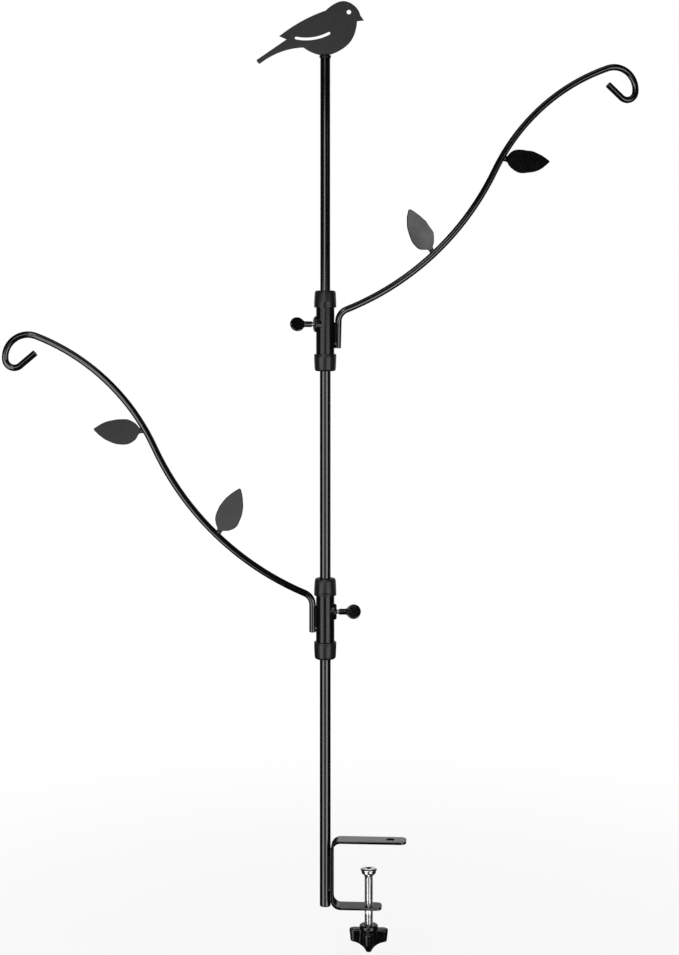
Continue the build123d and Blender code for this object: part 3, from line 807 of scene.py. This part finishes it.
class FEEDERPOLE_OT_swivel_pad(bpy.types.Operator):
    """Spin the swivel pad with its dimple and its swaged cup"""
    bl_idname = "feeder_pole.swivel_pad"
    bl_label = "Spin the Swivel Pad"

    def execute(self, context):
        low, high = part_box("swivel_pad")
        rim = (high.x - low.x) / 2
        face, foot = high.z, low.z
        socket = face - SOCKET_DEPTH * MM
        outline = [(out * MM, face - deep * MM) for out, deep in PAD_FACE]
        outline += [(rim - inset * MM, face - deep * MM) for inset, deep in PAD_EDGE]
        outline += [(out * MM, face - deep * MM) for out, deep in PAD_CUP]
        outline += [(out * MM, foot + up * MM) for out, up in PAD_FOOT]
        outline.append((PAD_BORE * MM, socket - SOCKET_MOUTH * MM))
        outline += arc_to_top(0.0, socket, SOCKET * MM, SOCKET_START, SOCKET_STEPS)
        outline[-1] = (0.0, socket + SOCKET * MM)
        bm = bmesh.new()
        spin_outline(bm, outline, PAD_STEPS, closed=False)
        zinc = bright_zinc(context.scene.pole_colours)
        finish_piece(bm, "dished_pad", zinc, "clamp_pad", ["swivel_pad"])
        return {"FINISHED"}


class FEEDERPOLE_OT_knob(bpy.types.Operator):
    """Mould the hand knob with soft edges, and the pole's foot plug"""
    bl_idname = "feeder_pole.knob"
    bl_label = "Mould Knob and Plug"

    def execute(self, context):
        sizes = context.scene.pole_sizes
        plastic = knob_plastic(context.scene.pole_colours)
        bm = copy_of_node("clamp_knob")
        knob = finish_piece(bm, "hand_knob", plastic, "clamp_spindle", ["clamp_knob"])
        skin = knob.modifiers.new("Moulded skin", "REMESH")
        skin.mode = "VOXEL"
        skin.voxel_size = sizes.knob_round / KNOB_VOXELS
        skin.use_smooth_shade = True
        soft = knob.modifiers.new("Moulded edges", "SMOOTH")
        soft.factor = KNOB_PULL
        soft.iterations = KNOB_PASSES
        bm = copy_of_node("pole_end_plug")
        whole_faces(bm)
        round_edges(bm, sizes.plug_round)
        finish_edged(bm, "foot_plug", plastic, "pole", ["pole_end_plug"])
        return {"FINISHED"}


class FEEDERPOLE_OT_collar_caps(bpy.types.Operator):
    """Spin the soft caps that close the collars"""
    bl_idname = "feeder_pole.collar_caps"
    bl_label = "Spin the Collar Caps"

    def execute(self, context):
        sag = context.scene.pole_sizes.cap_sag
        vinyl = cap_vinyl(context.scene.pole_colours)
        for side in SIDES:
            for end, way in (("top_cap", 1), ("bottom_cap", -1)):
                name = f"{side}_{end}"
                low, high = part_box(name)
                wall = (high.x - low.x) / 2 / MM
                height = (high.z - low.z) / MM
                outline = list(CAP_MOUTH)
                outline += [(wall - inset, up) for inset, up in CAP_WALL]
                outline += arc_to_top(wall - SHOULDER_INSET, height - CAP_SHOULDER, CAP_SHOULDER,
                                      SHOULDER_START, SHOULDER_STEPS)
                outline += [(out, height - deep) for out, deep in CAP_EYE]
                bm = bmesh.new()
                spin_outline(bm, [(out * MM, up * MM) for out, up in outline], CAP_STEPS)
                for corner in bm.verts:
                    flat = Vector((corner.co.x, corner.co.y, 0))
                    if flat.length > CAP_SKIN:
                        seed = corner.co * CAP_WAVES + Vector((len(name), CAP_START * way, 0))
                        corner.co += flat.normalized() * sag * (noise.noise(seed) - CAP_SINK)
                if way < 0:
                    bmesh.ops.rotate(bm, verts=bm.verts, matrix=Matrix.Rotation(math.pi, 3, "X"))
                base = low.z if way > 0 else high.z
                bmesh.ops.translate(bm, verts=bm.verts, vec=(POLE_X, 0, base))
                bmesh.ops.recalc_face_normals(bm, faces=bm.faces)
                finish_piece(bm, f"{side}_{end}_vinyl", vinyl, f"{side}_carriage",
                             [name])
        return {"FINISHED"}


class FEEDERPOLE_OT_thumb_screws(bpy.types.Operator):
    """Make the thumb screws, with a coated paddle on a bright thread"""
    bl_idname = "feeder_pole.thumb_screws"
    bl_label = "Make Thumb Screws"

    def execute(self, context):
        coat = powder_coat(context.scene.pole_colours)
        zinc = bright_zinc(context.scene.pole_colours)
        pitch = context.scene.pole_sizes.thumb_pitch
        for side in SIDES:
            joint = JOINTS[f"{side}_thumb_turn"]
            outward = -Vector(joint["axis"])
            centre = Vector(joint["pos_m"])
            node = f"{side}_thumb_screw"
            bm = copy_of_node(node)
            bmesh.ops.bisect_plane(bm, geom=bm.verts[:] + bm.edges[:] + bm.faces[:], dist=MERGE,
                                   plane_co=centre + outward * THUMB_PADDLE_START, plane_no=outward,
                                   clear_inner=True)
            bmesh.ops.edgeloop_fill(bm, edges=[edge for edge in bm.edges if edge.is_boundary])
            finish_piece(bm, f"{side}_thumb_paddle", coat, f"{side}_thumb",
                         [node], PADDLE_CREASE)
            bm = bmesh.new()
            spin_thread(bm, THUMB_RADIUS, THUMB_ROOT, pitch, THUMB_THREAD_START,
                        THUMB_PADDLE_START + THUMB_LAP)
            place = Matrix.Translation(centre) @ along(outward)
            bmesh.ops.transform(bm, matrix=place, verts=bm.verts)
            finish_piece(bm, f"{side}_thumb_thread", zinc, f"{side}_thumb")
        return {"FINISHED"}


# Stage

def seen_by_eye(tree, backdrop):
    """Rays that show the backdrop: from the camera, and through or off shiny surfaces."""
    rays = add_node(tree, "ShaderNodeLightPath").outputs
    shiny = add_node(tree, "ShaderNodeMath", {0: rays["Is Glossy Ray"], 1: backdrop},
                     operation="MULTIPLY").outputs[0]
    clear = add_node(tree, "ShaderNodeMath", {0: rays["Is Camera Ray"], 1: rays["Is Transmission Ray"]},
                     operation="MAXIMUM").outputs[0]
    return add_node(tree, "ShaderNodeMath", {0: clear, 1: shiny}, operation="MAXIMUM").outputs[0]


def studio_world():
    """Dim room with a white backdrop behind the object."""
    world = bpy.data.worlds.new("Studio")
    bpy.context.scene.world = world
    world.use_nodes = True
    tree = world.node_tree
    room = tree.nodes["Background"]
    room.inputs["Color"].default_value = WHITE
    dull = add_node(tree, "ShaderNodeLightPath").outputs["Is Diffuse Ray"]
    fill = add_node(tree, "ShaderNodeMapRange", {"Value": dull, "To Min": 0.015, "To Max": 0.5})
    tree.links.new(fill.outputs["Result"], room.inputs["Strength"])
    white = add_node(tree, "ShaderNodeBackground", {"Color": WHITE, "Strength": 1.0})
    way = add_node(tree, "ShaderNodeTexCoord").outputs["Generated"]
    way = add_node(tree, "ShaderNodeSeparateXYZ", {"Vector": way}).outputs
    behind = add_node(tree, "ShaderNodeMapRange", {
        "Value": way["Y"], "From Min": 0.86, "From Max": 0.97},
        interpolation_type="SMOOTHSTEP").outputs["Result"]
    above = add_node(tree, "ShaderNodeMapRange", {
        "Value": way["Z"], "From Min": 0.14, "From Max": 0.3},
        interpolation_type="SMOOTHSTEP").outputs["Result"]
    below = add_node(tree, "ShaderNodeMapRange", {
        "Value": way["Z"], "From Min": 0.38, "From Max": 0.295},
        interpolation_type="SMOOTHSTEP").outputs["Result"]
    band = add_node(tree, "ShaderNodeMath", {0: above, 1: below}, operation="MULTIPLY").outputs[0]
    card = add_node(tree, "ShaderNodeMath", {0: behind, 1: band}, operation="MULTIPLY").outputs[0]
    seen = seen_by_eye(tree, card)
    mixed = add_node(tree, "ShaderNodeMixShader", {0: seen, 1: room.outputs[0], 2: white.outputs[0]})
    tree.links.new(mixed.outputs[0], tree.nodes["World Output"].inputs["Surface"])


def pale_floor(colour):
    """Floor disc that keeps the shadow near the object and fades to white far from it."""
    bm = bmesh.new()
    bmesh.ops.create_circle(bm, segments=96, radius=FLOOR_RADIUS, cap_ends=True)
    bmesh.ops.translate(bm, verts=bm.verts, vec=(0, 0, FLOOR_Z))
    mesh = bpy.data.meshes.new("pale_floor")
    bm.to_mesh(mesh)
    bm.free()
    material, tree, shader = start_material("Pale floor")
    place = add_node(tree, "ShaderNodeTexCoord").outputs["Object"]
    speckle = add_node(tree, "ShaderNodeTexNoise", {"Vector": place, "Scale": 60.0, "Detail": 4.0})
    rough = add_node(tree, "ShaderNodeMapRange", {
        "Value": speckle.outputs["Fac"], "To Min": 0.7, "To Max": 0.9})
    shader.inputs["Base Color"].default_value = opaque(colour)
    shader.inputs["Specular IOR Level"].default_value = 0.2
    tree.links.new(rough.outputs["Result"], shader.inputs["Roughness"])
    away = add_node(tree, "ShaderNodeVectorMath", {0: place}, operation="LENGTH").outputs["Value"]
    fade = add_node(tree, "ShaderNodeMapRange", {
        "Value": away, "From Min": 0.2, "From Max": 1.2, "To Min": 0.80, "To Max": 1.0},
        interpolation_type="SMOOTHSTEP")
    share = add_node(tree, "ShaderNodeMath", {0: seen_by_eye(tree, 1.0), 1: fade.outputs["Result"]},
                     operation="MULTIPLY").outputs[0]
    white = add_node(tree, "ShaderNodeEmission", {"Color": WHITE, "Strength": 1.0})
    mixed = add_node(tree, "ShaderNodeMixShader", {0: share, 1: shader.outputs[0], 2: white.outputs[0]})
    tree.links.new(mixed.outputs[0], tree.nodes["Material Output"].inputs["Surface"])
    mesh.materials.append(material)
    floor = bpy.data.objects.new("pale_floor", mesh)
    bpy.context.scene.collection.objects.link(floor)
    floor.visible_glossy = False


def softbox(name, node, azimuth, distance, height, size, brightness, aim, spread):
    """Soft lamp on a circle round a node of the frame; azimuth 0 is the camera's side."""
    low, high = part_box(node)
    middle = (low + high) / 2
    turn = math.radians(azimuth)
    place = Vector((middle.x + distance * math.sin(turn), middle.y - distance * math.cos(turn), height))
    lamp = bpy.data.lights.new(name, "AREA")
    lamp.shape = "RECTANGLE"
    lamp.size, lamp.size_y = size
    lamp.energy = brightness * math.pi * size[0] * size[1]
    lamp.spread = math.radians(spread)
    held = bpy.data.objects.new(name, lamp)
    held.location = place
    held.rotation_mode = "QUATERNION"
    held.rotation_quaternion = (Vector((middle.x, middle.y, aim)) - place).to_track_quat("-Z", "Y")
    held.visible_camera = False
    bpy.context.scene.collection.objects.link(held)


# Lamps: name, node that it circles, azimuth, distance, height, size, brightness, aim height, spread
SOFTBOXES = (
    ("left_box", "middle_pole", -38, 2.4, -0.50, (1.70, 2.40), 2.3, -0.50, 180),
    ("right_box", "middle_pole", 38, 2.4, -0.23, (1.80, 1.76), 2.3, -0.23, 180),
    ("upper_strip", "middle_pole", -10.5, 2.4, 0.925, (1.2, 0.53), 2.6, 0.9, 180),
    ("leaf_box", "upper_inner_leaf", 49.7, 0.6, 0.878, (0.16, 0.13), 0.07, 0.731, 20),
    ("front_box", "middle_pole", -5, 2.6, 1.54, (1.3, 0.42), 0.95, 0.95, 180),
    ("floor_box", "middle_pole", -12, 1.3, 1.7, (0.5, 0.5), 0.7, FLOOR_Z, 40),
    ("top_box", "middle_pole", 10, 0.35, 2.3, (1.6, 1.0), 0.4, 0.5, 180),
    ("bounce_card", "middle_pole", 71, 0.055, -0.085, (0.030, 0.030), 0.9, 2.0, 180),
    ("back_box", "middle_pole", 180, 2.4, 0.0, (0.9, 1.1), 1.0, 0.0, 180),
    ("back_left", "middle_pole", -140, 1.6, 0.7, (0.5, 1.5), 1.0, 0.5, 180),
    ("back_right", "middle_pole", 140, 1.6, 0.7, (0.5, 1.5), 1.0, 0.5, 180),
)


class FEEDERPOLE_OT_stage(bpy.types.Operator):
    """Set the floor, the studio lights and the camera"""
    bl_idname = "feeder_pole.stage"
    bl_label = "Set the Stage"

    def execute(self, context):
        scene = context.scene
        scene.view_settings.view_transform = "Standard"
        studio_world()
        pale_floor(scene.pole_colours.floor)
        for lamp in SOFTBOXES:
            softbox(*lamp)
        lens = bpy.data.cameras.new("photo_camera")
        lens.sensor_width = SENSOR
        lens.lens = FOCAL_PIXELS / FRAME_HEIGHT * SENSOR
        lens.shift_y = (HORIZON_ROW - FRAME_HEIGHT / 2) / FRAME_HEIGHT
        camera = bpy.data.objects.new("photo_camera", lens)
        camera.location = CAMERA_PLACE
        camera.rotation_euler = (math.pi / 2, 0, math.radians(CAMERA_TURN))
        scene.collection.objects.link(camera)
        scene.camera = camera
        return {"FINISHED"}


OPERATORS = (
    FEEDERPOLE_OT_coat_steel,
    FEEDERPOLE_OT_bracket,
    FEEDERPOLE_OT_bird,
    FEEDERPOLE_OT_leaves,
    FEEDERPOLE_OT_welds,
    FEEDERPOLE_OT_clamp_screw,
    FEEDERPOLE_OT_swivel_pad,
    FEEDERPOLE_OT_knob,
    FEEDERPOLE_OT_collar_caps,
    FEEDERPOLE_OT_thumb_screws,
    FEEDERPOLE_OT_stage,
)


class FEEDERPOLE_PT_sidebar(bpy.types.Panel):
    """Sizes, colours and steps of the feeder pole"""
    bl_idname = "FEEDERPOLE_PT_sidebar"
    bl_label = "Feeder Pole"
    bl_space_type = "VIEW_3D"
    bl_region_type = "UI"
    bl_category = "Feeder Pole"

    def draw(self, context):
        for group in (context.scene.pole_sizes, context.scene.pole_colours):
            column = self.layout.column(align=True)
            for name in group.__annotations__:
                column.prop(group, name)
        for operator in OPERATORS:
            self.layout.operator(operator.bl_idname)


CLASSES = (PoleSizes, PoleColours, *OPERATORS, FEEDERPOLE_PT_sidebar)


def register():
    for item in CLASSES:
        bpy.utils.register_class(item)
    bpy.types.Scene.pole_sizes = bpy.props.PointerProperty(type=PoleSizes)
    bpy.types.Scene.pole_colours = bpy.props.PointerProperty(type=PoleColours)


def unregister():
    del bpy.types.Scene.pole_colours
    del bpy.types.Scene.pole_sizes
    for item in reversed(CLASSES):
        bpy.utils.unregister_class(item)


def main():
    register()
    bpy.ops.feeder_pole.coat_steel()
    bpy.ops.feeder_pole.bracket()
    bpy.ops.feeder_pole.bird()
    bpy.ops.feeder_pole.leaves()
    bpy.ops.feeder_pole.welds()
    bpy.ops.feeder_pole.clamp_screw()
    bpy.ops.feeder_pole.swivel_pad()
    bpy.ops.feeder_pole.knob()
    bpy.ops.feeder_pole.collar_caps()
    bpy.ops.feeder_pole.thumb_screws()
    bpy.ops.feeder_pole.stage()


if __name__ == "__main__":
    main()
